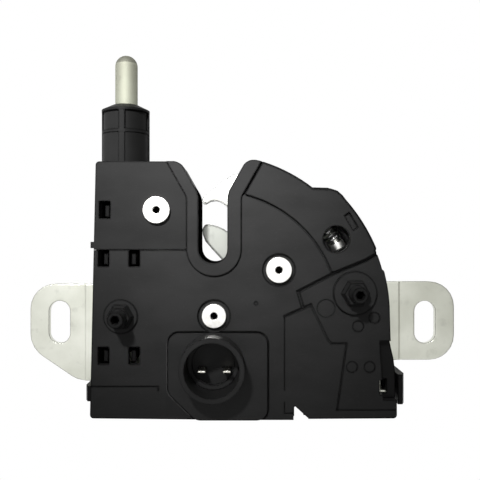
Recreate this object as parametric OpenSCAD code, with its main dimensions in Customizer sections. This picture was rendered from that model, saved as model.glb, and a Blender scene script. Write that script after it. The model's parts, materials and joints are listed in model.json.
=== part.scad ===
// Hood latch for a vehicle: a claw and a safety hook catch a striker bar that
// drops into the V slot, and a pop-up plunger lifts the released hood.
// Front (the side with the connector) faces -Y, +Z is up, +X is to the right.
// The origin lies midway between the two bracket slots, on the bracket's rear
// mounting face. Lengths are in millimetres, angles in degrees.

/* [Bracket] */
// Thickness of the steel bracket plate
plate_t = 2.5; // [2:0.1:3]
// Offset by which the ears are joggled back to bear on the vehicle
ear_joggle = 0.5; // [0.3:0.1:0.8]
// Distance between the centres of the two fixing slots
fixing_spacing = 155; // [150:1:160]
// Width of a fixing slot
fixing_w = 8.9; // [6.6:0.1:10.5]
// End-to-end length of a fixing slot
fixing_l = 18; // [14:0.5:20]
// Width of metal outside a fixing slot
ear_margin = 7.9; // [6:0.1:10]
// Corner radius of the ears
ear_r = 10.5; // [8:0.5:12]
// Height of the ears above the slots' centre line
ear_top = 16.2; // [13:0.2:19]

/* [Housing] */
// Depth of the housing in front of the bracket plate
housing_d = 28; // [27.5:0.5:31]
// Wall thickness of the moulded housing
wall = 2.2; // [1.8:0.1:2.6]
// Left edge of the front face at the bottom
body_left = -58; // [-59:0.25:-57]
// Inward lean of the left edge from bottom to top
body_lean = 2.2; // [1:0.1:3]
// Height of the front face's top edge over the spring channel's axis
channel_to_top = 3.9; // [2.7:0.1:5.1]
// Bottom edge of the front face
body_bottom = -33; // [-35:0.25:-32]
// Distance from the spring channel's axis to the housing's right side
channel_to_side = 12; // [11.5:0.1:13]
// Distance from the spring channel's axis to the housing's top right shoulder
channel_to_shoulder = 6.7; // [6.5:0.1:8]
// Height of the raised panels and rims above the front face
panel_h = 0.8; // [0.5:0.1:1.2]
// Width by which the housing's rear half steps out past its front half
rear_step = 1; // [0.8:0.1:2]

/* [Striker slot] */
// Width of the slot for the striker bar
striker_slot_w = 11.1; // [10.5:0.1:11.8]
// Centre of the slot, across the latch
slot_x = -11.3; // [-11.8:0.1:-10.8]
// Bottom of the slot
slot_bottom = 25.9; // [25:0.1:27]
// Height at which the slot widens into its V mouth
mouth_z = 52.5; // [51:0.5:54]
// Slope of each V flank, as width gained per height
mouth_slope = 0.57; // [0.45:0.01:0.62]
// Fillet radius where the slot widens into its V mouth
mouth_r = 9; // [4:0.5:12]
// Radius of the mouth's shoulders on the top edge
shoulder_fillet = 4.6; // [3:0.2:5.4]
// Width of the raised rim around the slot
rim_w = 4.8; // [4:0.1:5.5]
// Diameter of the striker bar that the latch holds
striker_d = 8.8; // [8:0.1:9.5]

/* [Claw and pawl] */
// Claw pivot, across the latch
claw_x = 13.85; // [13.7:0.05:14]
// Claw pivot, above the bracket slots
claw_z = 23.4; // [23.3:0.05:23.5]
// Thickness of the claw, pawl and hook steel
claw_t = 5; // [4:0.25:5.5]
// Reach of the claw's prongs from its pivot
claw_r = 33.7; // [32.5:0.1:34]
// Radius of the claw's hub
claw_hub_r = 13.6; // [13:0.1:13.8]
// Radius of the claw's locking tooth
tooth_r = 18; // [17.5:0.1:18.2]
// Turn of the claw from open to latched
claw_turn = 31.4; // [30.5:0.1:31.6]
// Width of the claw's mouth
claw_mouth_w = 10; // [9.6:0.1:10.6]
// Depth to which the pawl's nose bites behind the locking tooth
pawl_bite = 3.04; // [2.9:0.02:3.2]
// Angle by which the pawl stands lifted at rest
pawl_lift = 9.5; // [9.4:0.05:10]
// Radius of the pivot rivets' shanks
shank_r = 4; // [3.5:0.1:4.3]
// Radial running clearance of parts that turn or slide
running = 0.05; // [0.03:0.01:0.09]

/* [Safety hook] */
// Safety hook's and pawl's pivot, across the latch
hook_x = -10.85; // [-10.95:0.05:-10.8]
// Safety hook's and pawl's pivot, above the bracket slots
hook_z = 5.9; // [5.85:0.05:6]
// Thickness of the safety hook
hook_t = 4; // [3:0.25:4.5]
// Distance from the hook spring's axis in to the underside of the hook's head
head_under = 10.6; // [10:0.1:11.2]
// Distance from the hook spring's axis out to the top of the hook's head
head_over = 1.5; // [0.8:0.1:1.8]
// Angle of the hook's push on its spring, about the hook's pivot
hook_back = 75.6; // [75:0.1:76.2]
// Swing of the hook out of the striker's way
hook_travel = 16; // [14:0.5:16]
// Mean radius of the curved spring channel
channel_r = 54.9; // [54.5:0.1:55.2]
// Outer radius of the hook spring
hook_spring_r = 3.1; // [2.9:0.1:3.3]
// Wire diameter of the hook spring
hook_wire = 1; // [0.8:0.1:1.1]
// Radius of the inspection hole over the hook spring
window_r = 5.1; // [4.2:0.1:5.4]

/* [Plunger] */
// Axis of the pop-up plunger, across
plunger_x = -47; // [-47.5:0.1:-46.8]
// Radius of the plunger pin
pin_r = 4.5; // [4:0.1:4.8]
// Height of the pin's domed top at rest
pin_top = 109.4; // [104:0.5:112]
// Stroke of the plunger
plunger_stroke = 18; // [14:0.5:20]
// Radius of the guide tower
tower_r = 9.6; // [9:0.1:10]
// Top of the guide tower
tower_top = 87; // [84:0.2:89]
// Outer radius of the plunger spring
plunger_spring_r = 5.6; // [5.4:0.1:5.8]
// Wire diameter of the plunger spring
plunger_wire = 1.4; // [1.2:0.1:1.6]

/* [Connector] */
// Centre of the connector socket, across the latch
socket_x = -11.25; // [-11.6:0.05:-10.8]
// Centre of the connector socket, above the bracket slots
socket_z = -12.7; // [-13.2:0.1:-12.6]
// Outer radius of the socket's shroud
shroud_r = 12; // [11.5:0.1:12.4]
// Inner radius of the socket's shroud
socket_r = 10.1; // [9.6:0.1:10.4]
// Height of the shroud above the front face
shroud_h = 12; // [10:0.5:14]
// Distance between the two terminals
terminal_pitch = 9.5; // [8:0.1:10.5]

/* [Key spindle] */
// Axis of the key-turned release spindle, across the latch
key_x = -27.2; // [-27.3:0.05:-27.1]
// Axis of the key-turned release spindle, above the bracket slots
key_z = 4.4; // [4.3:0.05:4.5]
// Radius of the spindle's crank pin circle
crank_r = 3.4; // [3:0.1:3.8]
// Radius of the spindle's bearing
spindle_r = 6; // [5.5:0.1:6.5]

/* [Hidden] */
$fn = 48;

// Depths along Y: the ears end at 0 and the front face is the most negative
plate_back = -ear_joggle;
plate_y = plate_back - plate_t;
face_y = plate_y - housing_d;
inner_y = face_y + wall;
step_y = face_y + 9;
// Steel parts turn in two layers, the claw and pawl in front of the hook
claw_y = -19;
hook_y = -11.5;
spring_y = inner_y + hook_spring_r + 1.4;
layer_gap = 0.4;
eps = 0.01;

slot_r = striker_slot_w / 2;
slot_centre = [slot_x, slot_bottom + slot_r];
plunger_y = -14.5;
body_top = hook_z + channel_r + channel_to_top;
body_r = channel_r + channel_to_side;
shoulder_r = channel_r + channel_to_shoulder;
hook_in_r = channel_r - head_under;
hook_out_r = channel_r + head_over;
// The hook pushes its spring with a tab that is bent forward into the channel
tab_w = 2.2;
tab_a = hook_back - tab_w;
claw_pivot = [claw_x, claw_z];
hook_pivot = [hook_x, hook_z];
side_pivot = [-32.65, 46.2];
socket_at = [socket_x, socket_z];
key_at = [key_x, key_z];

steel = [0.78, 0.79, 0.76];
dark_plastic = [0.13, 0.13, 0.14];
grey_plastic = [0.2, 0.2, 0.22];
spring_steel = [0.55, 0.56, 0.58];
white_metal = [0.93, 0.92, 0.9];

// A flat outline drawn across and up, extruded from depth y0 to y1
module slab(y0, y1) {
    translate([0, y1, 0]) rotate([90, 0, 0]) linear_extrude(height = y1 - y0) children();
}

// A round bar along Y through a point given across and up
module bar(p, r, y0, y1) {
    translate([p[0], y1, p[1]]) rotate([90, 0, 0]) cylinder(r = r, h = y1 - y0);
}

// Points on a circular arc
function arc(c, r, from, to, steps) =
    [for (i = [0 : steps]) let (a = from + (to - from) * i / steps)
        c + r * [cos(a), sin(a)]];

// A point at a radius and an angle about the hook's pivot
function hook_polar(r, a) = hook_pivot + r * [cos(a), sin(a)];

// A pie slice between two angles, longer than any part
module wedge(c, from, to, reach = 120) {
    polygon(concat([c], arc(c, reach, from, to, 8)));
}

module ring(c, r_in, r_out) {
    translate(c) difference() {
        circle(r = r_out, $fn = 96);
        circle(r = r_in, $fn = 96);
    }
}

module rounded(r) {
    offset(r = r, $fn = 24) offset(delta = -r) children();
}

// The wire of a spring: a tube swept along points, turned about local axes
function unit(v) = v / norm(v);
function tangents(p) =
    [for (i = [0 : len(p) - 1]) unit(p[min(i + 1, len(p) - 1)] - p[max(i - 1, 0)])];
module wire(path, axes, r, sides = 8) {
    t = tangents(path);
    n = len(path);
    pts = [for (i = [0 : n - 1])
        let (u = unit(cross(t[i], axes[i])), v = cross(u, t[i]))
        for (k = [0 : sides - 1])
            path[i] + r * (cos(360 * k / sides) * u + sin(360 * k / sides) * v)];
    walls = [for (i = [0 : n - 2]) for (k = [0 : sides - 1])
        let (k1 = (k + 1) % sides)
        [i * sides + k, i * sides + k1, (i + 1) * sides + k1, (i + 1) * sides + k]];
    polyhedron(points = pts, faces = concat(
        [[for (k = [sides - 1 : -1 : 0]) k]], walls,
        [[for (k = [0 : sides - 1]) (n - 1) * sides + k]]));
}

// Outlines shared by the housing parts

// The front face without its slot
function left_edge(z) = body_left + body_lean * (z - body_bottom) / (body_top - body_bottom);
top_rise = 0.5;
bottom_sag = 0.6;
nick_d = 0.55;
notch_at = [19.4, 25.1];
module face_blank() {
    difference() {
        rounded(1.4) polygon(concat(
            [[body_left, body_bottom], [left_edge(body_top), body_top], [slot_x, body_top],
             [slot_x, body_top + top_rise], [5, body_top + top_rise]],
            arc(hook_pivot, shoulder_r, 72, 52.2, 8),
            [hook_polar(body_r - 1.2, 47.6), hook_polar(body_r, 45.4), hook_polar(body_r + 0.2, 43.2)],
            arc(hook_pivot, body_r, 41.5, 22.2, 10),
            arc(hook_pivot, body_r - nick_d, 22, 15.5, 4),
            arc(hook_pivot, body_r, 15.3, 3.4, 8),
            [[hook_pivot[0] + body_r + 0.25, -3], [58.1, -11], [58.6, -15], [58.7, body_bottom],
             [notch_at[1], body_bottom - bottom_sag / 3], [notch_at[0], body_bottom - bottom_sag],
             [0, body_bottom - bottom_sag]]));
        polygon([[notch_at[0], body_bottom - 3], [notch_at[0], body_bottom + 3.9],
            [notch_at[0] + 0.6, body_bottom + 4.6], [notch_at[1], body_bottom], [notch_at[1], body_bottom - 3]]);
    }
}

// The striker's slot with its V mouth, filleted where it widens
mouth_lean = atan(mouth_slope);
module striker_slot() {
    top = body_top + 12;
    half = slot_r + mouth_slope * (top - mouth_z);
    fillet_x = slot_r + mouth_r;
    fillet_z = mouth_z - mouth_r * tan(mouth_lean / 2);
    translate(slot_centre) circle(r = slot_r);
    polygon(concat(
        [[slot_x - slot_r, slot_centre[1]], [slot_x + slot_r, slot_centre[1]]],
        arc([slot_x + fillet_x, fillet_z], mouth_r, 180, 180 - mouth_lean, 5),
        [[slot_x + half, top], [slot_x - half, top]],
        arc([slot_x - fillet_x, fillet_z], mouth_r, mouth_lean, 0, 5)));
}

// What a rounded shoulder of the mouth takes off the top edge, on one side
module mouth_shoulder(side, top) {
    reach = shoulder_fillet * tan((90 - mouth_lean) / 2);
    x = slot_x + side * (slot_r + mouth_slope * (top - mouth_z));
    flank = side > 0 ? 180 - mouth_lean : mouth_lean;
    polygon(concat([[x - side * 0.4, top + 0.6]],
        arc([x + side * reach, top - shoulder_fillet], shoulder_fillet + 2 * eps, flank, 90, 8)));
}

module face_outline(grow = 0) {
    difference() {
        offset(delta = grow) face_blank();
        striker_slot();
        mouth_shoulder(-1, body_top + grow);
        mouth_shoulder(1, body_top + top_rise + grow);
    }
}

// Outer line of the raised rim, which stands a little to the right of the slot
rim_shift = 0.45;
module rim_area(gap = 0) {
    translate([rim_shift, 0]) offset(delta = rim_w + gap) striker_slot();
}

// The part of the face that the plunger housing covers
split_gap = 0.15;
split_x = slot_x + rim_shift - slot_r - rim_w;
split_z = slot_centre[1] - 0.45;
module plunger_corner(gap = 0) {
    difference() {
        translate([body_left - 10, split_z + gap])
            square([split_x - gap - body_left + 10, 60]);
        rim_area(gap);
    }
}

// Housing parts

// Two tiers of shell, hollow from behind
module housing_shell() {
    difference() {
        union() {
            slab(face_y, step_y) face_outline();
            slab(step_y, plate_y) face_outline(rear_step);
        }
        slab(inner_y, plate_y + 1) difference() {
            cavity(0);
            offset(delta = wall) flank_area();
        }
        slab(inner_y + flank_d, plate_y + 1) cavity(0);
        slab(step_y + wall, plate_y + 1) cavity(rear_step);
    }
}

// The hollow inside the walls
module cavity(grow) {
    difference() {
        offset(delta = grow - wall) face_blank();
        offset(delta = wall) striker_slot();
    }
}

module front_cover() {
    color(dark_plastic) difference() {
        union() {
            difference() {
                housing_shell();
                slab(face_y - 5, 1) plunger_corner(-split_gap / 2);
            }
            slot_rim();
            channel_panel();
            pivot_bosses();
            channel_walls();
            standoffs();
        }
        sweep_cuts();
        snap_windows();
        face_details();
        rivet_seats();
        connector_opening(0.1);
        bar(window_at, window_r, face_y - 5, inner_y + 0.4);
    }
}

// Raised rim round the slot
module slot_rim() {
    slab(face_y - panel_h, face_y) intersection() {
        rim_area();
        face_outline();
    }
}

// Raised cover of the curved spring channel, from the slot's rim to the corner seam
channel_edge_r = channel_r - 7.1;
corner_seam = [[21.15, 15.2], [34.55, 22.1], [46.95, 27.2], [52.5, 30.4]];
rim_seam = [[0.75, 52.4], [7.6, 64.4]];
module channel_panel() {
    slab(face_y - panel_h / 2, face_y + eps) difference() {
        intersection() {
            offset(delta = -0.6) face_outline();
            ring(hook_pivot, channel_edge_r, body_r + 2);
            polygon([rim_seam[0] + [0.25, 0], rim_seam[1] + [0.25, 0], [8.6, 80], [80, 80],
                corner_seam[3] + [20, 10], corner_seam[3] + [0, 0.6], corner_seam[2] + [0, 0.6],
                corner_seam[1] + [0, 0.6], [20, 30]]);
        }
        rim_area();
    }
}

// A line moulded into the front wall along a row of points
seam_w = 0.5;
seam_d = 0.45;
module seam(points, w = seam_w, d = seam_d) {
    slab(face_y - panel_h - 1, face_y + d) for (i = [0 : len(points) - 2]) {
        step = points[i + 1] - points[i];
        translate(points[i]) rotate(atan2(step[1], step[0]))
            translate([-w / 2, -w / 2]) square([norm(step) + w, w]);
    }
}

// Seams, ejector marks and recesses of the front wall
switch_seam = [[16.05, 5.8], [25.95, 10.2], [32.65, -3.4], [33.85, -4.5], [39.55, -4.5], [35.95, -29.8]];
ejector_marks = [[43.95, 2], [50.15, 5.2], [41.65, -13.5], [48.35, -13.5]];
ejector_r = 2.1;
module face_details() {
    seam(corner_seam, 1, 0.9);
    seam([corner_seam[0], [22.75, 9.7]], 0.9, 0.9);
    seam([switch_seam[0], switch_seam[1]], 0.8, 0.7);
    seam(rim_seam);
    seam(switch_seam);
    seam([[16, 5.2], [16, -22.2]], 0.3);
    seam([[16, -27], [16, -31], [22, -31]], 0.3);
    seam([switch_seam[5], [58, -29.8]], 0.3);
    seam([[-60, -20.9], [-32, -20.9], [-32, -22.4]], 0.4);
    slab(face_y - panel_h - 1, face_y + seam_d) intersection() {
        ring(hook_pivot, channel_edge_r - seam_w, channel_edge_r);
        wedge(hook_pivot, 20.4, 75);
    }
    for (p = ejector_marks) bar(p, ejector_r, face_y - 1, face_y + seam_d);
    bar([31.75, 8.8], 3.4, face_y - 1, face_y + 0.3);
    bar([5.1, 10.7], 0.7, face_y - 1, face_y + 0.5);
    slab(face_y - panel_h - 1, face_y + 0.7) polygon([[38.6, 44.3], [40.5, 45.4], [43.9, 39.6], [42, 38.4]]);
    slab(face_y - 1, face_y + 0.9) difference() {
        offset(delta = seam_w) pad_outline();
        pad_outline();
    }
    slab(face_y - 1, face_y + flank_d) flank_area();
    translate([catch_at[0] - catch_w / 2 - 0.15, face_y - 1, catch_at[1] - catch_h / 2 - 0.15])
        cube([catch_w + 0.3, flank_d + wall + 2, catch_h + 0.3]);
}

// Stepped-back flank at the lower right, with the window of the bracket's catch
flank_x = 52.2;
flank_d = 3;
catch_at = [53.8, -21.3];
catch_w = 3;
catch_h = 5.2;
module flank_area() {
    polygon([[flank_x, -3.6], [70, -3.6], [70, -26], [flank_x + 1.4, -26]]);
}

// Bosses that carry the rivets between the front wall and the steel parts
boss_r = 7;
boss_end = inner_y + 1.8;
module pivot_bosses() {
    bar(claw_pivot, boss_r, inner_y - eps, boss_end);
    bar(hook_pivot, boss_r, inner_y - eps, boss_end);
}

// Walls of the hook spring's channel, in front of the claw
channel_half = hook_spring_r + 0.4;
channel_wall = 1.2;
channel_from = 27.6;
channel_to = 66;
window_at = hook_polar(channel_r, 32.15);
module channel_walls() {
    in_r = channel_r - channel_half - channel_wall;
    out_r = channel_r + channel_half + channel_wall;
    slab(inner_y - eps, claw_y - claw_room - 0.2) {
        intersection() {
            union() {
                ring(hook_pivot, in_r, in_r + channel_wall);
                ring(hook_pivot, out_r - channel_wall, out_r);
            }
            wedge(hook_pivot, channel_from - 2, channel_to);
            offset(delta = -wall / 2) face_outline();
        }
        intersection() {
            ring(hook_pivot, in_r, out_r);
            wedge(hook_pivot, channel_from - 2, channel_from);
        }
    }
}

// Moulded hexagonal standoffs on the front face
left_standoff = [-46.3, 5.7];
right_standoff = [42.7, 14.6];
standoff_h = 11.5;
module standoff(p, base_r, pad_r, pad_h) {
    difference() {
        union() {
            bar(p, pad_r, face_y - pad_h, face_y + eps);
            translate([p[0], face_y + eps, p[1]]) rotate([90, 0, 0])
                cylinder(r1 = base_r + 0.5, r2 = base_r - 0.3, h = standoff_h * 0.45, $fn = 6);
            translate([p[0], face_y + eps, p[1]]) rotate([90, 0, 0])
                cylinder(r1 = 3.2, r2 = 2.9, h = standoff_h);
        }
        translate([p[0], face_y - standoff_h + 9, p[1]]) rotate([90, 0, 0])
            cylinder(r = 1.7, h = 12, $fn = 6);
    }
}
module standoffs() {
    standoff(left_standoff, 4.6, 6.4, 0.6);
    standoff(right_standoff, 5, 8.2, 1.2);
}

// Room for the claw and the hook to swing through the slot's walls
claw_room = 0.8;
hook_room = 0.8;
module sweep_cuts() {
    slab(claw_y - claw_room, claw_y + claw_t + claw_room) intersection() {
        translate(claw_pivot) circle(r = claw_r + 0.6);
        translate([slot_x - slot_r - wall - 2, 15]) square([24, 50]);
    }
    slab(hook_y - hook_room, hook_y + hook_t + hook_room) intersection() {
        ring(hook_pivot, hook_in_r - 7, hook_out_r + 2.4);
        wedge(hook_pivot, 54, 98.4);
    }
}

// Windows for the spring channel's snap hooks
window_w = 4.2;
window_h = 6.6;
snap_dx = 5.85;
snap_z = [28, -9.2];
module snap_window(x, z) {
    translate([x, face_y - 2, z]) cube([window_w, 2 * (wall + 2) + 1, window_h], center = true);
}
module snap_windows() {
    for (z = snap_z, side = [-1, 1]) snap_window(plunger_x + side * snap_dx, z);
}

// Holes and recesses for the claw and hook rivets
rivet_head_r = 4.9;
recess_d = 1;
module rivet_seats() {
    for (p = [claw_pivot, hook_pivot]) {
        bar(p, shank_r + running, face_y - 1, 0);
        bar(p, rivet_head_r + 1.3, face_y - 1, face_y + recess_d);
    }
}

// Tower block: the upper left corner of the housing and the plunger's guide
collar_z = 59.2;
collar_h = 3;
module plunger_housing() {
    bore_r = pin_r + running;
    color(dark_plastic) difference() {
        union() {
            intersection() {
                housing_shell();
                slab(face_y - 5, 1) plunger_corner(split_gap / 2);
            }
            tower();
            translate([left_edge(split_z) - 1.2, face_y, split_z + 0.7]) cube([3, 5, 2.4]);
        }
        translate([plunger_x, plunger_y, collar_z + collar_h]) cylinder(r = bore_r, h = 60);
        translate([plunger_x, plunger_y, slot_centre[1] - 1])
            cylinder(r = 7.3, h = collar_z + collar_h + 0.3 - slot_centre[1] + 1);
        snap_window(plunger_x - snap_dx + 0.45, 46.3);
        bar(side_pivot, shank_r + running, face_y - 1, 0);
    }
}

tower_x = plunger_x - 0.25;
tower_band = 1;
tower_ring = 9.7;
rib_h = 0.8;
rib_t = 2.4;
module tower() {
    translate([tower_x, plunger_y, 0]) {
        base = body_top - wall;
        rib_top = tower_top - tower_band;
        translate([0, 0, base]) cylinder(r = tower_r - rib_h, h = tower_top - base - 0.5);
        translate([0, 0, rib_top]) cylinder(r = tower_r, h = tower_band);
        translate([0, 0, tower_top - eps]) cylinder(r1 = tower_r, r2 = pin_r + 0.9, h = 2.1);
        translate([0, 0, tower_top - tower_ring]) cylinder(r = tower_r - 0.05, h = 1.2);
        translate([0, 0, base]) cylinder(r = tower_r - 0.3, h = tower_top - tower_ring - base + eps);
        for (a = [0 : 90 : 270]) rotate([0, 0, a])
            translate([tower_r - 3, -rib_t / 2, base]) cube([2.9, rib_t, rib_top - base + eps]);
    }
}

// Steel bracket

module back_plate() {
    color(steel) {
        plate_blank();
        plate_catch();
    }
}

// Bent catch that reaches forward to the window in the front wall
catch_t = 0.8;
module plate_catch() {
    x = catch_at[0] - catch_w / 2;
    z = catch_at[1] - catch_h / 2;
    front = face_y + flank_d + 0.6;
    translate([x, front, z]) cube([catch_t, plate_y - front + eps, catch_h]);
    translate([x, front, z]) cube([catch_w, 8, catch_t]);
}

// Plate with its ears joggled back, so that only they bear on the vehicle
joggle_x = fixing_spacing / 2 - 11;
module plate_blank() {
    difference() {
        union() {
            slab(plate_y, plate_back) {
                intersection() {
                    offset(delta = -0.8) face_outline(rear_step);
                    translate([-80, -30]) square([160, 120]);
                }
                intersection() {
                    bracket_ears();
                    translate([-joggle_x, -50]) square([2 * joggle_x, 100]);
                }
            }
            slab(-plate_t, 0) difference() {
                bracket_ears();
                translate([-joggle_x + 0.8, -50]) square([2 * joggle_x - 1.6, 100]);
            }
        }
        slab(plate_y - 1, 1) {
            offset(delta = wall + 0.4) striker_slot();
            for (side = [-1, 1]) fixing_slot(side);
            for (p = [claw_pivot, hook_pivot, side_pivot]) translate(p) circle(r = shank_r + running);
            translate(key_at) circle(r = spindle_r + 2);
        }
    }
}

module fixing_slot(side) {
    x = side * fixing_spacing / 2;
    end = fixing_l / 2 - fixing_w / 2;
    for (s = [-1, 1]) translate([x, s * end]) circle(r = fixing_w / 2);
    translate([x - fixing_w / 2, -end]) square([fixing_w, 2 * end]);
}

// Ears of the bracket, left and right
ear_x = fixing_spacing / 2 + fixing_w / 2 + ear_margin;
module bracket_ears() {
    rounded(ear_r) polygon([[-ear_x, ear_top], [-30, ear_top], [-30, -24.8], [-66, -24.8],
        [-70, -24.5], [-ear_x + 3, -13], [-ear_x, -8]]);
    rounded(ear_r) polygon([[30, ear_top + 1], [ear_x, ear_top + 1], [ear_x, -16], [30, -16]]);
}

// Rear cover with the key spindle's bearing

rear_t = 3;
module rear_cover() {
    color(dark_plastic) difference() {
        union() {
            slab(plate_back, rear_t - 1) rear_outline();
            slab(plate_back, rear_t) difference() {
                rear_outline();
                offset(delta = -rear_lip) rear_outline();
            }
            bar(key_at, spindle_r + 2.5, plate_back, rear_t + 6);
            bar(hook_pivot, 10, plate_back, rear_t);
            rear_ribs();
            side_clips();
        }
        bar(key_at, spindle_r + running, -1, rear_t + 7);
        bar(hook_pivot, 8, plate_back - 1, rear_t + 1);
        for (p = rear_pegs) bar(p, 1.6, -1, rear_t + 2);
    }
}

rear_lip = 1.6;
rear_pegs = [[-46, -24], [-2, -24], [46, -24]];
module rear_outline() {
    rounded(3) polygon([[-54, -31.5], [-54, -2], [-38, 14], [-8, 14], [0, 2], [54, 2], [56, -31.5]]);
}

// Stiffening ribs, from the spindle's bearing and round the peg holes
module rear_ribs() {
    rib = 1.4;
    slab(plate_back, rear_t) {
        translate([key_at[0] - rib / 2, -31]) square([rib, 30]);
        for (x = [-10, 12, 34]) translate([x, -31]) square([rib, 32]);
        translate([-53, -13]) square([108, rib]);
    }
    intersection() {
        slab(plate_back, rear_t + 4) for (a = [60, 150, 240, 330]) translate(key_at) rotate(a)
            translate([0, -rib / 2]) square([spindle_r + 9, rib]);
        translate([key_at[0], -1, key_at[1]]) rotate([-90, 0, 0])
            cylinder(r1 = spindle_r + 13, r2 = spindle_r + 3, h = rear_t + 5);
    }
    for (p = rear_pegs) bar(p, 3.2, plate_back, rear_t);
}

// Snap arms that reach forward past the plate's edge, each with a bevelled tip
clip_t = 3;
module side_clip(corner, h, tip_y, dir) {
    translate([corner[0], 0, corner[1]]) scale([dir, 1, 1]) {
        translate([0, plate_back, 0]) cube([14, rear_t - plate_back, h]);
        linear_extrude(height = h)
            polygon([[0, rear_t], [0, tip_y + 3], [1.2, tip_y], [clip_t, tip_y],
                [clip_t, rear_t]]);
        translate([0, 0, h / 2 - 0.6]) linear_extrude(height = 1.2)
            polygon([[clip_t - eps, 0], [clip_t - eps, tip_y + 3], [clip_t + 0.8, 0]]);
    }
}
module side_clips() {
    side_clip([-64.6, -31.3], 6.2, -12, 1);
    side_clip([65.8, -31.5], 12, -16, -1);
}

// Connector and switch

pad_left = -28.1;
pad_right = 9.4;
pad_top = -0.5;
pad_bottom = body_bottom - 0.4;
module pad_outline() {
    rounded(4) polygon([[pad_left, pad_top], [pad_right, pad_top], [pad_right, pad_bottom],
        [-17.6, pad_bottom], [pad_left, -23.2]]);
}
module connector_opening(gap) {
    slab(face_y - 5, inner_y + 1) offset(delta = gap) plug_outline();
}
// The part of the connector that fills the hole in the front wall
module plug_outline() {
    intersection() {
        offset(delta = -1.2) pad_outline();
        translate([-60, body_bottom + wall + 0.4]) square([120, 60]);
    }
}

socket_floor = face_y + 4;
module connector_body() {
    color(grey_plastic) difference() {
        union() {
            slab(face_y - 1.5, face_y) pad_outline();
            slab(face_y - eps, inner_y) plug_outline();
            bar(socket_at, shroud_r, face_y - shroud_h, face_y);
            bar(socket_at, socket_r + 0.8, face_y, socket_floor + 2);
        }
        bar(socket_at, socket_r, face_y - shroud_h - 1, socket_floor);
        for (side = [-1, 1]) blade_slot(side, 0.05);
    }
}

blade_w = 2.8;
blade_t = 0.8;
module blade_slot(side, gap) {
    translate([socket_at[0] + 0.6 + side * terminal_pitch / 2, socket_floor, socket_at[1] - 2])
        cube([blade_w + 2 * gap, 20, blade_t + 2 * gap], center = true);
}

module socket_seal() {
    color([0.1, 0.1, 0.1]) difference() {
        bar(socket_at, socket_r - 0.1, socket_floor - 2.2, socket_floor);
        bar(socket_at, socket_r - 2, socket_floor - 3, socket_floor + 1);
    }
}

bus_y = socket_floor + 3;
switch_at = [34, -3];
module terminals() {
    color([0.85, 0.83, 0.75]) for (side = [-1, 1]) {
        x = socket_at[0] + 0.6 + side * terminal_pitch / 2;
        z = socket_at[1] - 2;
        drop = side > 0 ? 0 : 5;
        foot = switch_at[0] - side * 4;
        translate([x - blade_w / 2, socket_floor - 7, z - blade_t / 2])
            cube([blade_w, bus_y - socket_floor + 7, blade_t]);
        translate([x - blade_w / 2, bus_y - eps, z - drop - blade_w / 2])
            cube([blade_w, blade_t, drop + blade_w]);
        translate([x - blade_w / 2, bus_y - eps, z - drop - blade_w / 2])
            cube([foot - x + blade_w, blade_t, blade_w]);
        translate([foot - blade_w / 2, bus_y - eps, z - drop - blade_w / 2])
            cube([blade_w, blade_t, switch_at[1] - 5 - z + drop + blade_w / 2]);
        translate([foot - blade_w / 2, bus_y - eps, switch_at[1] - 5 - blade_t])
            cube([blade_w, claw_y + claw_t / 2 + 1 - bus_y, blade_t]);
    }
}

switch_w = 20;
switch_h = 10;
switch_d = 6;
switch_y = claw_y + claw_t / 2;
button_x = switch_at[0] + 3;
module microswitch() {
    color([0.1, 0.1, 0.12]) difference() {
        translate([switch_at[0] - switch_w / 2, switch_y - switch_d / 2, switch_at[1] - switch_h / 2])
            cube([switch_w, switch_d, switch_h]);
        translate([button_x - 1.35, switch_y - 1.35, switch_at[1]]) cube([2.7, 2.7, switch_h]);
        for (side = [-1, 1]) bar([switch_at[0] + side * 7, switch_at[1] - 2.5], 1.1, -40, 0);
    }
}

module switch_button() {
    color([0.8, 0.2, 0.15])
        translate([button_x - 1.2, switch_y - 1.2, switch_at[1] + 1])
            cube([2.4, 2.4, switch_h / 2 + 0.4]);
}

lever_hinge = [switch_at[0] + switch_w / 2 - 1.5, switch_at[1] + switch_h / 2 + 1.2];
lever_tip = claw_pivot + (tooth_r + 1.55) * [cos(298.6), sin(298.6)];
module switch_lever() {
    color(spring_steel) {
        slab(switch_y - 1.8, switch_y + 1.8) union() {
            translate(lever_hinge) circle(r = 0.9);
            polygon([lever_hinge + [0, -0.25], lever_hinge + [0, 0.25],
                lever_tip + [0, 0.25], lever_tip + [0, -0.25]]);
            translate(lever_tip) circle(r = 1.6);
        }
    }
}

// Claw and pawl

// The claw is drawn open, about its pivot. Its mouth lies along mouth_dir
striker_at = slot_centre + [0, 0.4 + striker_d / 2 - slot_r];
striker_vec = striker_at - claw_pivot;
striker_reach = norm(striker_vec);
striker_angle = atan2(striker_vec[1], striker_vec[0]) - claw_turn;
mouth_at = striker_reach * [cos(striker_angle), sin(striker_angle)];
mouth_angle = 160.9;
mouth_dir = [cos(mouth_angle), sin(mouth_angle)];
mouth_up = [sin(mouth_angle), -cos(mouth_angle)];

// The mouth's lower side is bowed, so that the striker rolls over the prong's tip
prong_bow = 17;
prong_chord = 4.8;
module claw_mouth() {
    half = claw_mouth_w / 2;
    lower = mouth_at - mouth_up * half;
    bow_centre = lower + prong_chord * mouth_dir
        - sqrt(pow(prong_bow, 2) - pow(prong_chord, 2)) * mouth_up;
    bow_angle = asin(prong_chord / prong_bow);
    top_angle = mouth_angle - 90;
    translate(mouth_at) circle(r = half);
    polygon(concat([mouth_at + mouth_up * half, mouth_at],
        arc(bow_centre, prong_bow, top_angle - bow_angle, top_angle + 2 * bow_angle, 6),
        [mouth_at - mouth_up * 14 + 30 * mouth_dir, mouth_at + mouth_up * (half + 6) + 30 * mouth_dir]));
}

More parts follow.
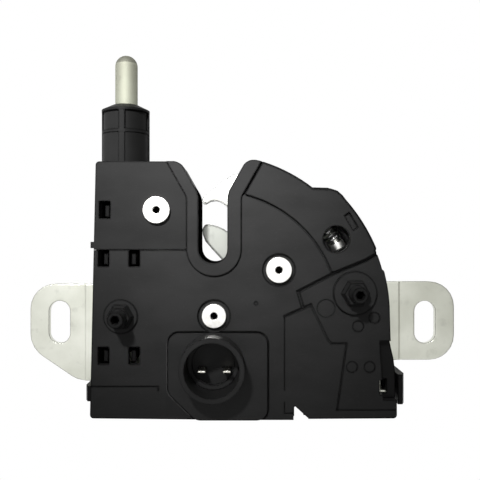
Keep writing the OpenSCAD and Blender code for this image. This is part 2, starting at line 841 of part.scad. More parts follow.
tooth_angle = 275.6 - claw_turn;
module claw_outline() {
    difference() {
        union() {
            circle(r = claw_hub_r);
            // Prongs
            rounded(1.5) difference() {
                intersection() {
                    circle(r = claw_r, $fn = 96);
                    polygon([[0, -6], [-21, 2.4], [-26.1, 7.9], [-28.6, 10.9], [-29.6, 13.5],
                        [-30, 17], [-36, 20], [-26, 34], [-4, 36], [9, 26], [12, 8]]);
                    // Inside the path of the hook's tab
                    translate(hook_pivot - claw_pivot) circle(r = tab_in_r - layer_gap * 2, $fn = 96);
                }
                claw_mouth();
            }
            // Locking tooth
            intersection() {
                circle(r = tooth_r);
                wedge([0, 0], tooth_angle, tooth_angle + 24, 30);
            }
            // Switch cam
            rounded(1) intersection() {
                circle(r = tooth_r - 0.2);
                polygon([[0, 0], [14.5, -26.2], [30, -12]]);
            }
        }
        translate(hook_pivot - claw_pivot) rotate(pawl_dir) pawl_nose(0.35);
        circle(r = claw_bush_r + running);
    }
}

claw_bush_r = shank_r + 1.2;
module claw() {
    color(steel) slab(claw_y, claw_y + claw_t) translate(claw_pivot) claw_outline();
}

// Direction from the pawl's pivot to its nose when it holds the claw
to_claw = claw_pivot - hook_pivot;
pawl_len = sqrt(pow(norm(to_claw), 2) - pow(tooth_r - pawl_bite, 2));
pawl_dir = atan2(to_claw[1], to_claw[0]) - acos(pawl_len / norm(to_claw));
nose_top = 1;
nose_foot = -3.3;

// Pawl drawn along +X from its pivot, holding the claw
module pawl_nose(gap) {
    polygon([[pawl_len + gap, nose_top + gap], [pawl_len - 2.2 - gap, nose_top + gap],
        [pawl_len - 4.7 - gap, nose_foot + gap / 2], [pawl_len - 5, nose_foot - 1],
        [pawl_len + gap, nose_foot - 1]]);
}

module pawl_outline() {
    difference() {
        union() {
            circle(r = 8);
            intersection() {
                circle(r = pawl_len - 0.15, $fn = 96);
                union() {
                    pawl_nose(0);
                    polygon([[0, 7.5], [14.5, -0.6], [pawl_len - 5, nose_foot], [pawl_len, nose_foot],
                        [pawl_len - 1, -8], [0, -8]]);
                }
            }
            // Tail with the crank pin's slot
            rotate(tail_angle) polygon([[0, 6.5], [0, -6.5], [tail_len, -4], [tail_len, 4]]);
        }
        circle(r = shank_r + running);
        rotate(tail_angle) translate([crank_reach - 1.8, -crank_slot / 2])
            square([10, crank_slot]);
    }
}

to_key = key_at - hook_pivot;
crank_reach = norm(to_key) - crank_r;
crank_pin_r = 1.6;
crank_slot = 2 * crank_pin_r + 0.6;
tail_len = crank_reach + 1.6;
tail_angle = atan2(to_key[1], to_key[0]) - pawl_dir + pawl_lift;

module pawl() {
    color(steel) slab(claw_y, claw_y + claw_t)
        translate(hook_pivot) rotate(pawl_dir - pawl_lift) pawl_outline();
}

// Safety hook

module hook_outline() {
    p = hook_pivot;
    arm_x = slot_x + slot_r + wall + 0.8;
    head_z = hook_z + hook_in_r;
    difference() {
        union() {
            translate(p) circle(r = 8.5);
            rounded(1) difference() {
                union() {
                    // Head over the slot
                    polygon([hook_polar(hook_in_r - 1, 97), hook_polar(hook_in_r + 2, 97),
                        hook_polar(hook_in_r + 4.1, 93.3), hook_polar(hook_out_r - 3, 86.5),
                        hook_polar(hook_out_r, 82.2), hook_polar(hook_out_r + 1, 78.6),
                        hook_polar(hook_out_r + 1, tab_a), hook_polar(hook_in_r + 5.5, tab_a),
                        [5, head_z + 1.8], [5, head_z - 6.2], [arm_x, head_z - 8.2], [arm_x, head_z - 4.2],
                        [slot_x, head_z - 4.2]]);
                    // Arm down the slot's right side to the pivot
                    polygon([[arm_x, head_z - 0.2], [5, head_z - 0.2], [6.4, 40], [7.5, 16],
                        p + [6, -6], p + [-6, 5], [-6.5, 19], [arm_x, 27]]);
                }
                // Hollow over the striker
                translate([slot_x + 0.1, hook_in_r - 2.9]) scale([1.03, 1.36]) circle(r = 7);
            }
        }
        translate(p) circle(r = shank_r + running);
        claw_sleeve_relief();
    }
}

// Room round the claw's sleeve, which the hook's arm passes as it swings
module claw_sleeve_relief() {
    r = norm(to_claw);
    a = atan2(to_claw[1], to_claw[0]);
    relief_r = claw_bush_r + 0.5;
    translate(hook_polar(r, a + hook_travel)) circle(r = relief_r);
    intersection() {
        ring(hook_pivot, r - relief_r, r + relief_r);
        wedge(hook_pivot, a - 20, a + hook_travel);
    }
}

tab_in_r = channel_r - 1.9;
tab_out_r = channel_r + 1.5;
tab_gap = 0.4;
module safety_hook() {
    color([0.9, 0.9, 0.87]) union() {
        slab(hook_y, hook_y + hook_t) hook_outline();
        slab(inner_y + 0.8, hook_y + hook_t) difference() {
            intersection() {
                ring(hook_pivot, tab_in_r, tab_out_r);
                wedge(hook_pivot, tab_a, tab_a + tab_w);
            }
            offset(delta = wall + tab_gap) striker_slot();
        }
    }
}

// Springs and their seats

// Curved hook spring in its channel
hook_turns = 20;
function channel_point(a, r, around) = let (q = r * [cos(around), sin(around)])
    [hook_pivot[0] + (channel_r + q[0]) * cos(a), spring_y + q[1],
     hook_pivot[1] + (channel_r + q[0]) * sin(a)];
follower_t = 4;
follower_a = tab_a - 2.2;
seat_l = 2.5;
seat_a = channel_from + 0.25 + seat_l / channel_r * 180 / PI;
module hook_spring() {
    wire_angle = hook_wire / 2 / channel_r * 180 / PI;
    from = seat_a + wire_angle + 0.1;
    to = follower_a - 2.6 - wire_angle;
    steps = hook_turns * 12;
    coil_r = hook_spring_r - hook_wire / 2;
    path = [for (i = [0 : steps]) channel_point(from + (to - from) * i / steps, coil_r, i * 360 / 12)];
    axes = [for (i = [0 : steps]) let (a = from + (to - from) * i / steps) [-sin(a), 0, cos(a)]];
    color(spring_steel) wire(path, axes, hook_wire / 2, 6);
}

// Place something along the channel's curved axis
module on_channel(a) {
    translate([hook_pivot[0], spring_y, hook_pivot[1]]) rotate([0, -a, 0])
        translate([channel_r, 0, 0]) children();
}

module spring_seat() {
    color(white_metal) {
        on_channel(channel_from + 0.2) {
            cylinder(r = hook_spring_r - 0.2, h = seat_l);
            cylinder(r = hook_spring_r - hook_wire - 0.5, h = seat_l + 2.5);
        }
    }
}

module spring_follower() {
    color(white_metal) on_channel(follower_a) translate([0, 0, -2.4]) {
        cylinder(r = hook_spring_r - 0.1, h = follower_t);
        translate([0, 0, -3]) cylinder(r = hook_spring_r - hook_wire - 0.5, h = 3.5);
    }
}

// Torsion spring about a rivet: coil with one leg at each end
module torsion_spring(p, coil_r, wire_r, y0, turns, leg, a0, a1) {
    steps = round(turns * 20);
    sweep = 360 * floor(turns) + a1 - a0;
    coil = [for (i = [0 : steps]) let (a = a0 + sweep * i / steps)
        [p[0] + coil_r * cos(a), y0 + wire_r + (turns * 2.1 * wire_r) * i / steps, p[1] + coil_r * sin(a)]];
    first = coil[0] + leg * [sin(a0), 0, -cos(a0)];
    last = coil[steps] + leg * [-sin(a1), 0, cos(a1)];
    path = concat([first], coil, [last]);
    wire(path, [for (q = path) [0, 1, 0]], wire_r, 6);
}

module claw_spring() {
    color(spring_steel) torsion_spring(claw_pivot, 8, 0.8, boss_end + 0.4, 3, 9, 200, 300);
}

module pawl_spring() {
    color(spring_steel) torsion_spring(hook_pivot, 6.2, 0.6, boss_end + 2.4, 3, 8, 180, 340);
}

// Rivets, bushes and spacers

module rivet(p, head_y, head_r) {
    color(white_metal) difference() {
        union() {
            bar(p, head_r, head_y - 1.5, head_y);
            bar(p, shank_r, head_y - eps, plate_back);
            bar(p, 6.4, plate_back, plate_back + 1.6);
        }
        bar(p, 1.4, head_y - 3, head_y + 12);
    }
}

module claw_rivet() { rivet(claw_pivot, face_y + recess_d, rivet_head_r); }
module hook_rivet() { rivet(hook_pivot, face_y + recess_d, rivet_head_r - 0.3); }
module side_rivet() { rivet(side_pivot, face_y, 5.1); }

// A sleeve on a rivet
module sleeve(p, r, y0, y1) {
    color(steel) difference() {
        bar(p, r, y0, y1);
        bar(p, shank_r + running, y0 - 1, y1 + 1);
    }
}

pivot_sleeve_r = 5.2;
module claw_bush() { sleeve(claw_pivot, claw_bush_r, boss_end + eps, plate_y - eps); }
module pivot_spacer() { sleeve(hook_pivot, 6.5, claw_y + claw_t + layer_gap, hook_y - layer_gap); }
module front_sleeve() { sleeve(hook_pivot, pivot_sleeve_r, boss_end + eps, claw_y - layer_gap); }
module rear_sleeve() { sleeve(hook_pivot, 6.5, hook_y + hook_t + layer_gap, plate_y - eps); }
module side_spacer() { sleeve(side_pivot, 6, inner_y, plate_y); }

// Key spindle

rod_square = 5.6;
module key_spindle() {
    color(grey_plastic) difference() {
        union() {
            bar(key_at, spindle_r, hook_y + hook_t, rear_t + 8);
            // Web that carries the crank pin
            bar(key_at, spindle_r - 0.4, claw_y + claw_t + 0.6, hook_y + hook_t);
            bar(key_at + crank_r * to_pawl, crank_pin_r, claw_y - 1, claw_y + claw_t + 1);
        }
        slab(rear_t - 1, rear_t + 9) translate(key_at) square(rod_square, center = true);
    }
}
to_pawl = -unit(to_key);

module spindle_ring() {
    color(spring_steel) difference() {
        bar(key_at, spindle_r + 1.5, rear_t + 6.2, rear_t + 7);
        bar(key_at, spindle_r, rear_t + 6, rear_t + 7.2);
        translate([key_at[0] - 1.5, rear_t + 5, key_at[1] + 2]) cube([3, 3, 8]);
    }
}

// Plunger

module plunger_pin() {
    stem_r = 2.4;
    color([0.75, 0.75, 0.7]) translate([plunger_x, plunger_y, 0]) {
        translate([0, 0, collar_z]) cylinder(r = pin_r, h = pin_top - pin_r - collar_z);
        translate([0, 0, pin_top - pin_r]) sphere(r = pin_r);
        translate([0, 0, 14]) cylinder(r = stem_r, h = collar_z - 13);
    }
}

collar_r = plunger_spring_r + 0.1;
module plunger_collar() {
    color(spring_steel) translate([plunger_x, plunger_y, collar_z]) difference() {
        cylinder(r = collar_r, h = collar_h);
        translate([0, 0, -1]) cylinder(r = pin_r + 0.01, h = collar_h + 2);
    }
}

module plunger_spring() {
    z0 = -6.5;
    turns = 15;
    steps = turns * 14;
    r = plunger_spring_r - plunger_wire / 2;
    z1 = collar_z - plunger_wire / 2 - 0.05;
    path = [for (i = [0 : steps]) let (a = i * 360 / 14)
        [plunger_x + r * cos(a), plunger_y + r * sin(a), z0 + (z1 - z0) * i / steps]];
    color(spring_steel) wire(path, [for (q = path) [0, 0, 1]], plunger_wire / 2, 6);
}

// Guide tube for the plunger's spring, held by snap hooks
channel_floor = -9.5;
module spring_channel() {
    color(grey_plastic) difference() {
        union() {
            translate([plunger_x, plunger_y, channel_floor]) cylinder(r = 7, h = 60);
            for (z = snap_z, side = [-1, 1]) snap_hook(plunger_x + side * (snap_dx - 0.5), z);
            snap_hook(plunger_x - snap_dx + 1, 46.3);
        }
        translate([plunger_x, plunger_y, channel_floor + 2]) cylinder(r = 6, h = 60);
    }
}

module snap_hook(x, z) {
    y = face_y + snap_depth;
    translate([x - 0.8, y, z - 1.8]) cube([1.6, plunger_y - y - 2.2, 3.6]);
    translate([x - 0.8, y, z - 2.6]) cube([1.6, 1.4, 4.4]);
}
snap_depth = 2.4;

front_cover();
plunger_housing();
back_plate();
rear_cover();
connector_body();
socket_seal();
terminals();
microswitch();
switch_button();
switch_lever();
claw();
claw_spring();
claw_bush();
claw_rivet();
safety_hook();
hook_spring();
spring_seat();
spring_follower();
hook_rivet();
pivot_spacer();
front_sleeve();
rear_sleeve();
side_rivet();
side_spacer();
pawl();
pawl_spring();
key_spindle();
spindle_ring();
plunger_pin();
plunger_collar();
plunger_spring();
spring_channel();
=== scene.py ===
import json
import math

import bpy
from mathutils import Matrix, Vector


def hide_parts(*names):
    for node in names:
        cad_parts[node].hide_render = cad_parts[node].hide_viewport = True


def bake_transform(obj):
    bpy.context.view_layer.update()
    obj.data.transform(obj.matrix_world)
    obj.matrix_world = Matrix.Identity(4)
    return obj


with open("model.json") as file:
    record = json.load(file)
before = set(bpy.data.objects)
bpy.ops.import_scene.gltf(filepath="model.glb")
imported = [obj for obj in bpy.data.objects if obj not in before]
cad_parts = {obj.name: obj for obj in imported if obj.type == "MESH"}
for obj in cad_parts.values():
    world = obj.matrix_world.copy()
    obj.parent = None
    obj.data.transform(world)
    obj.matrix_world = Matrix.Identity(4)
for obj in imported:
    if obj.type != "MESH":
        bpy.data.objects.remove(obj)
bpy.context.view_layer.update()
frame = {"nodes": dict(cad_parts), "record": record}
scene = bpy.context.scene
scene.view_settings.view_transform = "Standard"

slot_of = {part["node"]: part["material_slot"] for part in frame["record"]["subparts"]}


def grey(level):
    return (level, level, level)


# Camera at the photograph's viewing angle, level and square to the front of the latch
CAMERA_LENS = 47.96
CAMERA_SENSOR = 36
CAMERA_PLACE = (-0.00095, -0.274, 0.0348)

cam_data = bpy.data.cameras.new("camera")
cam_data.lens = CAMERA_LENS
cam_data.sensor_width = CAMERA_SENSOR
cam_data.clip_start = 0.01
camera = bpy.data.objects.new("camera", cam_data)
camera.location = CAMERA_PLACE
camera.rotation_euler = (math.radians(90), 0, 0)
scene.collection.objects.link(camera)
scene.camera = camera


# Node helpers. A face turns to the front over a span of its normal's y, and down over one of
# its z. SHADED_EDGE_GLOSS is the share of the gloss left where edges and seams get painted shade,
# and LIT_EDGE_GREY is the colour of a painted highlight on edges.
RISE, FALL = (0, 1), (1, 0)
FACES_FRONT, FACES_DOWN = (-0.9, -0.5), (-0.12, -0.28)
SHADED_EDGE_GLOSS = 0.3
LIT_EDGE_GREY = grey(0.1)
BEVEL_SAMPLES = 6


class Surface:
    """A material with its Principled shader and the object's own coordinates in metres.

    edge_radius is how far round its edges look, and shade_reach how far the painted shade of its
    edges and seams spreads from them. That painted shade fades in as the bend at an edge, as a
    cosine, passes through shade_from. painted_shade is its colour, also used over painted areas.
    """

    def __init__(self, name, metallic=0.0, specular=0.5, edge_radius=0.0004,
                 painted_shade=grey(0.004), shade_reach=0.0012, shade_from=(0.96, 0.86)):
        self.material = bpy.data.materials.new(name)
        self.material.use_nodes = True
        self.tree = self.material.node_tree
        self.shader = self.tree.nodes["Principled BSDF"]
        self.shader.inputs["Metallic"].default_value = metallic
        self.shader.inputs["Specular IOR Level"].default_value = specular
        self.coord = self.add("ShaderNodeTexCoord").outputs["Object"]
        self.edge_radius = edge_radius
        self.painted_shade = painted_shade
        self.shade_reach = shade_reach
        self.shade_from = shade_from
        self.shade_without_gloss = None
        self.lit_edge = None

    def add(self, kind):
        return self.tree.nodes.new(kind)

    def link(self, output, socket):
        self.tree.links.new(output, socket)

    def noise(self, scale, detail=3, stretch=(1, 1, 1), turn=(0, 0, 0)):
        mapping = self.add("ShaderNodeMapping")
        mapping.inputs["Scale"].default_value = stretch
        mapping.inputs["Rotation"].default_value = turn
        texture = self.add("ShaderNodeTexNoise")
        texture.inputs["Scale"].default_value = scale
        texture.inputs["Detail"].default_value = detail
        self.link(self.coord, mapping.inputs["Vector"])
        self.link(mapping.outputs["Vector"], texture.inputs["Vector"])
        return texture.outputs["Fac"]

    def remap(self, value, span=(0, 1), to=RISE):
        """Turns the ends of span into the ends of to, and stays level beyond them."""
        node = self.add("ShaderNodeMapRange")
        node.inputs["From Min"].default_value, node.inputs["From Max"].default_value = span
        node.inputs["To Min"].default_value, node.inputs["To Max"].default_value = to
        self.link(value, node.inputs["Value"])
        return node.outputs["Result"]

    def blend(self, factor, first, second):
        node = self.add("ShaderNodeMix")
        node.data_type = "RGBA"
        self.link(factor, node.inputs["Factor"])
        for colour, socket in ((first, node.inputs["A"]), (second, node.inputs["B"])):
            if isinstance(colour, bpy.types.NodeSocket):
                self.link(colour, socket)
            else:
                socket.default_value = (*colour, 1)
        return node.outputs["Result"]

    def calculate(self, operation, *values):
        node = self.add("ShaderNodeMath")
        node.operation = operation
        for value, socket in zip(values, node.inputs):
            self.link(value, socket)
        return node.outputs["Value"]

    def times(self, first, second):
        return self.calculate("MULTIPLY", first, second)

    def along(self, axis, vector=None):
        """One axis of a vector, or of the place on the object."""
        split = self.add("ShaderNodeSeparateXYZ")
        self.link(vector or self.coord, split.inputs["Vector"])
        return split.outputs[axis]

    def between(self, axis, rise, fall):
        """One between two places on an axis, fading in over rise and out over fall."""
        place = self.along(axis)
        return self.times(self.remap(place, rise), self.remap(place, fall, FALL))

    def bevel(self, radius):
        edge = self.add("ShaderNodeBevel")
        edge.samples = BEVEL_SAMPLES
        edge.inputs["Radius"].default_value = radius
        return edge.outputs["Normal"]

    def under_edges(self, reach):
        """The undersides and the edges over them, in the piece's own axes, where painted shade
        goes.
        """
        turn = self.add("ShaderNodeVectorTransform")
        turn.vector_type = "NORMAL"
        turn.convert_from = "WORLD"
        turn.convert_to = "OBJECT"
        self.link(self.bevel(reach), turn.inputs["Vector"])
        return self.remap(self.along("Z", turn.outputs["Vector"]), FACES_DOWN)

    def relief(self, *layers):
        """Small rounded edges first, then each layer of pattern, strength and depth on top."""
        normal = self.bevel(self.edge_radius)
        flat = self.add("ShaderNodeVectorMath")
        flat.operation = "DOT_PRODUCT"
        self.link(self.bevel(self.shade_reach), flat.inputs[0])
        self.link(self.add("ShaderNodeNewGeometry").outputs["Normal"], flat.inputs[1])
        self.edge_line = self.remap(flat.outputs["Value"], self.shade_from)
        for pattern, strength, depth in layers:
            node = self.add("ShaderNodeBump")
            node.inputs["Strength"].default_value = strength
            node.inputs["Distance"].default_value = depth
            self.link(pattern, node.inputs["Height"])
            self.link(normal, node.inputs["Normal"])
            normal = node.outputs["Normal"]
        self.link(normal, self.shader.inputs["Normal"])

    def finish(self, colour, roughness):
        """Painted shade darkens the edges and seams and takes some of their gloss, a painted
        highlight makes some edges paler, and painted shade takes all gloss where it is marked.
        """
        painted_shade = self.painted_shade
        if self.lit_edge:
            painted_shade = self.blend(self.lit_edge, painted_shade, LIT_EDGE_GREY)
        self.link(self.blend(self.edge_line, colour, painted_shade), self.shader.inputs["Base Color"])
        level = self.shader.inputs["Specular IOR Level"]
        clean = level.default_value
        gloss = self.remap(self.edge_line, to=(clean, SHADED_EDGE_GLOSS * clean))
        if self.shade_without_gloss:
            gloss = self.times(gloss, self.remap(self.shade_without_gloss, to=FALL))
        self.link(gloss, level)
        self.link(roughness, self.shader.inputs["Roughness"])
        return self.material


# Places where the marks below fade in or out, each a span in metres: x runs to the right, y to
# the back and z up. The front face is at y -0.031 and its raised panels are at y -0.0318.
BEHIND_FACE = (-0.0309, -0.0304)
RECESS_DEPTH = (-0.0302, -0.0285)
SLOT_LEFT, SLOT_RIGHT, SLOT_FOOT = (-0.019, -0.0185), (-0.0005, 0), (0.02, 0.021)
PAD_LEFT, PAD_RIGHT = (-0.0295, -0.029), (-0.0195, -0.0185)
PAD_LOW, PAD_TOP, PAD_BACK = (-0.0322, -0.0318), (-0.006, -0.002), (-0.029, -0.0285)
STANDOFF_ROOT, STANDOFF_TIP = (-0.0336, -0.0324), (-0.0425, -0.0385)
TOWER_FOOT, TOWER_WIDTH = (0.0645, 0.066), (-0.052, -0.0455)
EAR_BEND_INNER, EAR_BEND_OUTER = (0.0645, 0.065), (0.0678, 0.0682)
PIN_DOME = (0.1058, 0.1062)
BORE_FRONT, BORE_BACK = (-0.0296, -0.0288), (-0.004, -0.0032)


def recess_floors(s):
    """Faces set back from the front wall, darkened with painted shade."""
    set_back = s.remap(s.along("Y"), RECESS_DEPTH, (0, 0.75))
    normal = s.add("ShaderNodeTexCoord").outputs["Normal"]
    return s.times(set_back, s.remap(s.along("Y", normal), FACES_FRONT, FALL))


def slot_walls(s):
    """The walls of the striker's slot, blackened with painted shade and with their gloss taken
    away.
    """
    in_slot = s.times(s.between("X", SLOT_LEFT, SLOT_RIGHT), s.remap(s.along("Z"), SLOT_FOOT))
    s.shade_without_gloss = s.times(s.remap(s.along("Y"), BEHIND_FACE), in_slot)
    return s.shade_without_gloss


def pad_edge(s):
    """The connector pad's left and slanting edges, with a pale painted highlight in place of the
    dark edge line, over a little painted shade.
    """
    on_edge = s.times(s.between("X", PAD_LEFT, PAD_RIGHT), s.between("Z", PAD_LOW, PAD_TOP))
    s.lit_edge = s.times(s.remap(s.along("Y"), PAD_BACK, FALL), on_edge)
    return s.remap(s.lit_edge, to=(0, 0.12))


def standoffs(s):
    """What stands out past the front panels, with painted shade darkening towards its tip."""
    depth = s.along("Y")
    standing_out = s.remap(depth, STANDOFF_ROOT, FALL)
    return s.times(standing_out, s.remap(depth, STANDOFF_TIP, (0.55, 0.12)))


def tower(s):
    """What rises over the housing's top edge, with painted shade darker towards its right."""
    risen = s.remap(s.along("Z"), TOWER_FOOT)
    return s.times(risen, s.remap(s.along("X"), TOWER_WIDTH, (0.1, 0.75)))


def pin_tip(s):
    """The domed end of the plunger pin, painted darker as a painted reflection."""
    return s.remap(s.along("Z"), PIN_DOME, (0, 0.8))


def unbent(s):
    """Zero at the bends of the ears, which get no painted dark edge line, and one elsewhere."""
    out = s.calculate("ABSOLUTE", s.along("X"))
    inside = s.remap(out, EAR_BEND_INNER, FALL)
    return s.calculate("MAXIMUM", inside, s.remap(out, EAR_BEND_OUTER))


# Kinds of material. A noise's scale is per metre, and MIDDLE and MOST are spans of its values.
MIDDLE, MOST = (0.35, 0.65), (0.3, 0.7)
# Colours of painted shade on undersides and inside rivet bores
UNDERSIDE_SHADE = grey(0.008)
BORE_SHADE = (0.012, 0.011, 0.01)


def darker(colour, share):
    return tuple(share * part for part in colour)


def moulded(name, dark, light, rough=(0.42, 0.6), specular=0.3, grain=0.25,
            painted_shade=grey(0.004), shaded=()):
    """Moulded plastic: fine grain, flow marks, faint scuffs and a little dust."""
    s = Surface(name, specular=specular, painted_shade=painted_shade)
    flow = s.noise(55, detail=4, stretch=(1, 1, 2.2))
    scratches = s.noise(420, detail=5, stretch=(1, 1, 14), turn=(0.2, 0.5, 0.1))
    scuff = s.remap(scratches, (0.63, 0.72))
    dust = s.remap(s.noise(2600, detail=2), (0.7, 0.76), (0, 0.35))
    worn = tuple(min(1, 2.1 * part + 0.02) for part in light)
    base = s.blend(s.remap(flow, MIDDLE), dark, light)
    base = s.blend(s.remap(scuff, to=(0, 0.16)), base, worn)
    base = s.blend(dust, base, worn)
    # Each area in shaded is darkened with painted shade
    for area in shaded:
        base = s.blend(area(s), base, painted_shade)
    s.relief((s.noise(5200, detail=2), grain, 0.00004),
             (s.noise(300, detail=2), 0.08, 0.0002),
             (scuff, 0.06, 0.00003))
    return s.finish(base, s.remap(flow, MOST, rough))


def rolled(name, dark, light, rough=(0.3, 0.45), lines=(1, 1, 30), edge_radius=0.0004,
           edge_shade_reach=0.0006, shaded=(), edges=None, shaded_under=0):
    """Plated sheet or bar: rolling or grinding lines, cloudy plating and small stains.

    Painted shade darkens its edges as far as edge_shade_reach, where edges allows it, and painted
    shade darkens its undersides and reaches round their edges as far as shaded_under. The areas
    in shaded are painted darker.
    """
    s = Surface(name, metallic=1.0, edge_radius=edge_radius,
                painted_shade=grey(0.02), shade_reach=edge_shade_reach, shade_from=(0.9, 0.8))
    line = s.noise(900, stretch=lines)
    stain = s.remap(s.noise(240, detail=4), (0.6, 0.75), (0, 0.5))
    base = s.blend(s.remap(s.noise(70, detail=5), MIDDLE), dark, light)
    base = s.blend(stain, base, darker(dark, 0.8))
    for area in shaded:
        base = s.blend(area(s), base, darker(dark, 0.5))
    if shaded_under:
        base = s.blend(s.under_edges(shaded_under), base, UNDERSIDE_SHADE)
    s.relief((line, 0.12, 0.00003), (s.noise(2600, detail=2), 0.1, 0.00002))
    if edges:
        s.edge_line = s.times(s.edge_line, edges(s))
    return s.finish(base, s.remap(line, MOST, rough))


def peened(name, dark, light, bored=True):
    """Bright rivet metal with hammer dimples, with painted shade inside the bore and along its
    edges.
    """
    s = Surface(name, metallic=1.0, painted_shade=grey(0.1), shade_reach=0.0004)
    dimple = s.noise(650, detail=2)
    base = s.blend(s.remap(dimple, (0.4, 0.6)), dark, light)
    if bored:
        base = s.blend(s.between("Y", BORE_FRONT, BORE_BACK), base, BORE_SHADE)
    s.relief((dimple, 0.35, 0.00012), (s.noise(3500, detail=2), 0.1, 0.00002))
    return s.finish(base, s.remap(s.noise(1200), MOST, (0.28, 0.45)))


LOOKS = {
    "black_plastic": (moulded, dict(
        dark=grey(0.022), light=grey(0.028), rough=(0.45, 0.62), specular=0.08,
        shaded=(recess_floors, slot_walls, standoffs, pad_edge))),
    # The same plastic as black_plastic, a little darker as painted shade, with more painted shade
    # over the tower
    "tower_plastic": (moulded, dict(
        dark=grey(0.018), light=grey(0.023), rough=(0.45, 0.62), specular=0.08,
        shaded=(tower, slot_walls))),
    "channel_plastic": (moulded, dict(
        dark=grey(0.007), light=grey(0.01), rough=(0.5, 0.6), specular=0.08)),
    "grey_plastic": (moulded, dict(
        dark=grey(0.018), light=grey(0.024), rough=(0.38, 0.52), specular=0.12,
        grain=0.15, painted_shade=grey(0.02))),
    "red_plastic": (moulded, dict(
        dark=(0.42, 0.05, 0.035), light=(0.5, 0.07, 0.05), rough=(0.3, 0.4))),
    "seal_rubber": (moulded, dict(
        dark=grey(0.014), light=grey(0.02), rough=(0.6, 0.75), grain=0.3)),
    "zinc_steel": (rolled, dict(
        dark=(0.66, 0.67, 0.59), light=(0.78, 0.79, 0.71), rough=(0.34, 0.46),
        lines=(1, 1, 24), edge_radius=0.0009, edges=unbent)),
    "hook_steel": (rolled, dict(
        dark=(0.84, 0.85, 0.8), light=(0.92, 0.92, 0.88), rough=(0.4, 0.5),
        edge_shade_reach=0.002, shaded_under=0.0022)),
    "claw_steel": (rolled, dict(
        dark=(0.37, 0.38, 0.35), light=(0.42, 0.43, 0.4), rough=(0.38, 0.48),
        edge_shade_reach=0.0024, shaded_under=0.0022)),
    "hardened_steel": (rolled, dict(
        dark=(0.56, 0.57, 0.53), light=(0.64, 0.65, 0.61), rough=(0.28, 0.42))),
    "spring_steel": (rolled, dict(
        dark=grey(0.5), light=(0.62, 0.62, 0.61), rough=(0.22, 0.34))),
    "pin_steel": (rolled, dict(
        dark=(0.37, 0.37, 0.31), light=(0.42, 0.43, 0.36), rough=(0.72, 0.8),
        lines=(1, 1, 40), shaded=(pin_tip,))),
    "tin_brass": (rolled, dict(
        dark=(0.7, 0.68, 0.6), light=(0.82, 0.8, 0.73), rough=(0.2, 0.32))),
    "rivet_steel": (peened, dict(
        dark=(0.86, 0.85, 0.81), light=(0.95, 0.94, 0.91))),
    "seat_steel": (peened, dict(
        dark=(0.86, 0.85, 0.81), light=(0.95, 0.94, 0.91), bored=False)),
}
MATERIALS = {name: kind(name, **look) for name, (kind, look) in LOOKS.items()}


# Every CAD solid gets the material of its slot, or its own finish
FINISHES = {
    "plunger_housing": "tower_plastic",
    "spring_channel": "channel_plastic",
    "spring_seat": "seat_steel",
    "spring_follower": "seat_steel",
    "safety_hook": "hook_steel",
    "claw": "claw_steel",
}
for name, obj in frame["nodes"].items():
    obj.data.materials.clear()
    obj.data.materials.append(MATERIALS[FINISHES.get(name, slot_of[name])])


def compressing(node):
    """A spring held to the housing at its start: a copy of its mesh, in place, stands in for the
    hidden CAD part.
    """
    coil = bpy.data.objects.new(node + "_coil", frame["nodes"][node].data.copy())
    scene.collection.objects.link(coil)
    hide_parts(node)
    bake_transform(coil)


compressing("hook_spring")
compressing("plunger_spring")


# Floor, surroundings and light
AMBIENT = 0.2
FLOOR_Z, FLOOR_REACH = -0.15, 6
CARD_GREY = (0.42, 0.42, 0.39)


def glowing(node, colour=grey(1), strength=1.0):
    node.inputs["Color"].default_value = (*colour, 1)
    node.inputs["Strength"].default_value = strength
    return node


def white_for_view(tree, white, other):
    """White where the camera, gloss or glass sees it, and another shader for the rest."""
    path = tree.nodes.new("ShaderNodeLightPath")
    seen = path.outputs["Is Camera Ray"]
    for extra in ("Is Glossy Ray", "Is Transmission Ray"):
        both = tree.nodes.new("ShaderNodeMath")
        both.operation = "MAXIMUM"
        tree.links.new(seen, both.inputs[0])
        tree.links.new(path.outputs[extra], both.inputs[1])
        seen = both.outputs[0]
    mix = tree.nodes.new("ShaderNodeMixShader")
    tree.links.new(seen, mix.inputs[0])
    tree.links.new(other.outputs[0], mix.inputs[1])
    tree.links.new(white.outputs[0], mix.inputs[2])
    return mix


def stage_material(name):
    material = bpy.data.materials.new(name)
    material.use_nodes = True
    return material, material.node_tree


def panel(name, corners, material):
    mesh = bpy.data.meshes.new(name)
    mesh.from_pydata(corners, [], [(0, 1, 2, 3)])
    mesh.materials.append(material)
    obj = bpy.data.objects.new(name, mesh)
    scene.collection.objects.link(obj)
    return obj


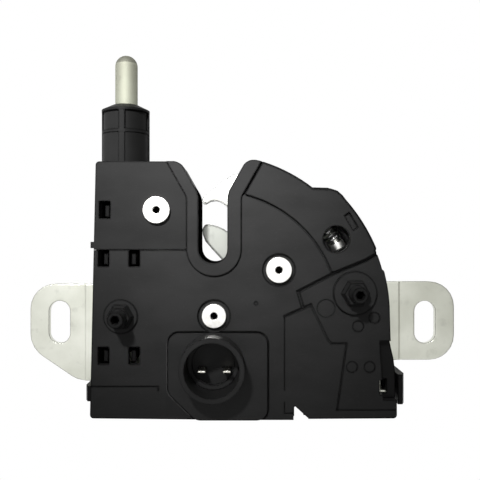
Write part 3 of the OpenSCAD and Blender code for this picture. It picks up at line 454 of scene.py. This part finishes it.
world = bpy.data.worlds.new("studio")
scene.world = world
world.use_nodes = True
tree = world.node_tree
ambient = glowing(tree.nodes["Background"], strength=AMBIENT)
shown = glowing(tree.nodes.new("ShaderNodeBackground"))
mix = white_for_view(tree, shown, ambient)
tree.links.new(mix.outputs[0], tree.nodes["World Output"].inputs["Surface"])

floor_white, tree = stage_material("floor_white")
matt = tree.nodes["Principled BSDF"]
matt.inputs["Base Color"].default_value = (*grey(0.9), 1)
matt.inputs["Roughness"].default_value = 0.9
glow = glowing(tree.nodes.new("ShaderNodeEmission"))
mix = white_for_view(tree, glow, matt)
tree.links.new(mix.outputs[0], tree.nodes["Material Output"].inputs["Surface"])
floor = panel("floor", [(FLOOR_REACH * x, FLOOR_REACH * y, FLOOR_Z)
                        for x, y in ((-1, -1), (1, -1), (1, 1), (-1, 1))], floor_white)


def softbox(name, place, aim, size, power, spread=180):
    data = bpy.data.lights.new(name, "AREA")
    data.size = size
    data.energy = power
    data.spread = math.radians(spread)
    lamp = bpy.data.objects.new(name, data)
    lamp.location = place
    lamp.rotation_euler = (Vector(aim) - Vector(place)).to_track_quat("-Z", "Y").to_euler()
    scene.collection.objects.link(lamp)


softbox("key", place=(-0.15, -0.54, 0.4), aim=(-0.018, -0.03, 0.072),
        size=0.06, power=0.1, spread=17)
softbox("fill", place=(-0.05, -0.6, 0.15), aim=(0, 0, 0.03), size=0.5, power=0.05)

# Two cards, seen only in the metal, shade its right side and its top
card_dark, tree = stage_material("card_dark")
glow = glowing(tree.nodes.new("ShaderNodeEmission"), CARD_GREY)
tree.links.new(glow.outputs[0], tree.nodes["Material Output"].inputs["Surface"])
CARDS = {
    "side_card": [(0.22, -0.5, -0.14), (0.36, 0.25, -0.14), (0.36, 0.25, 0.5), (0.22, -0.5, 0.5)],
    "top_card": [(-0.5, -0.35, 0.5), (0.5, -0.35, 0.5), (0.5, 0.4, 0.5), (-0.5, 0.4, 0.5)],
}
for name, corners in CARDS.items():
    card = panel(name, corners, card_dark)
    card.visible_camera = card.visible_diffuse = card.visible_shadow = False
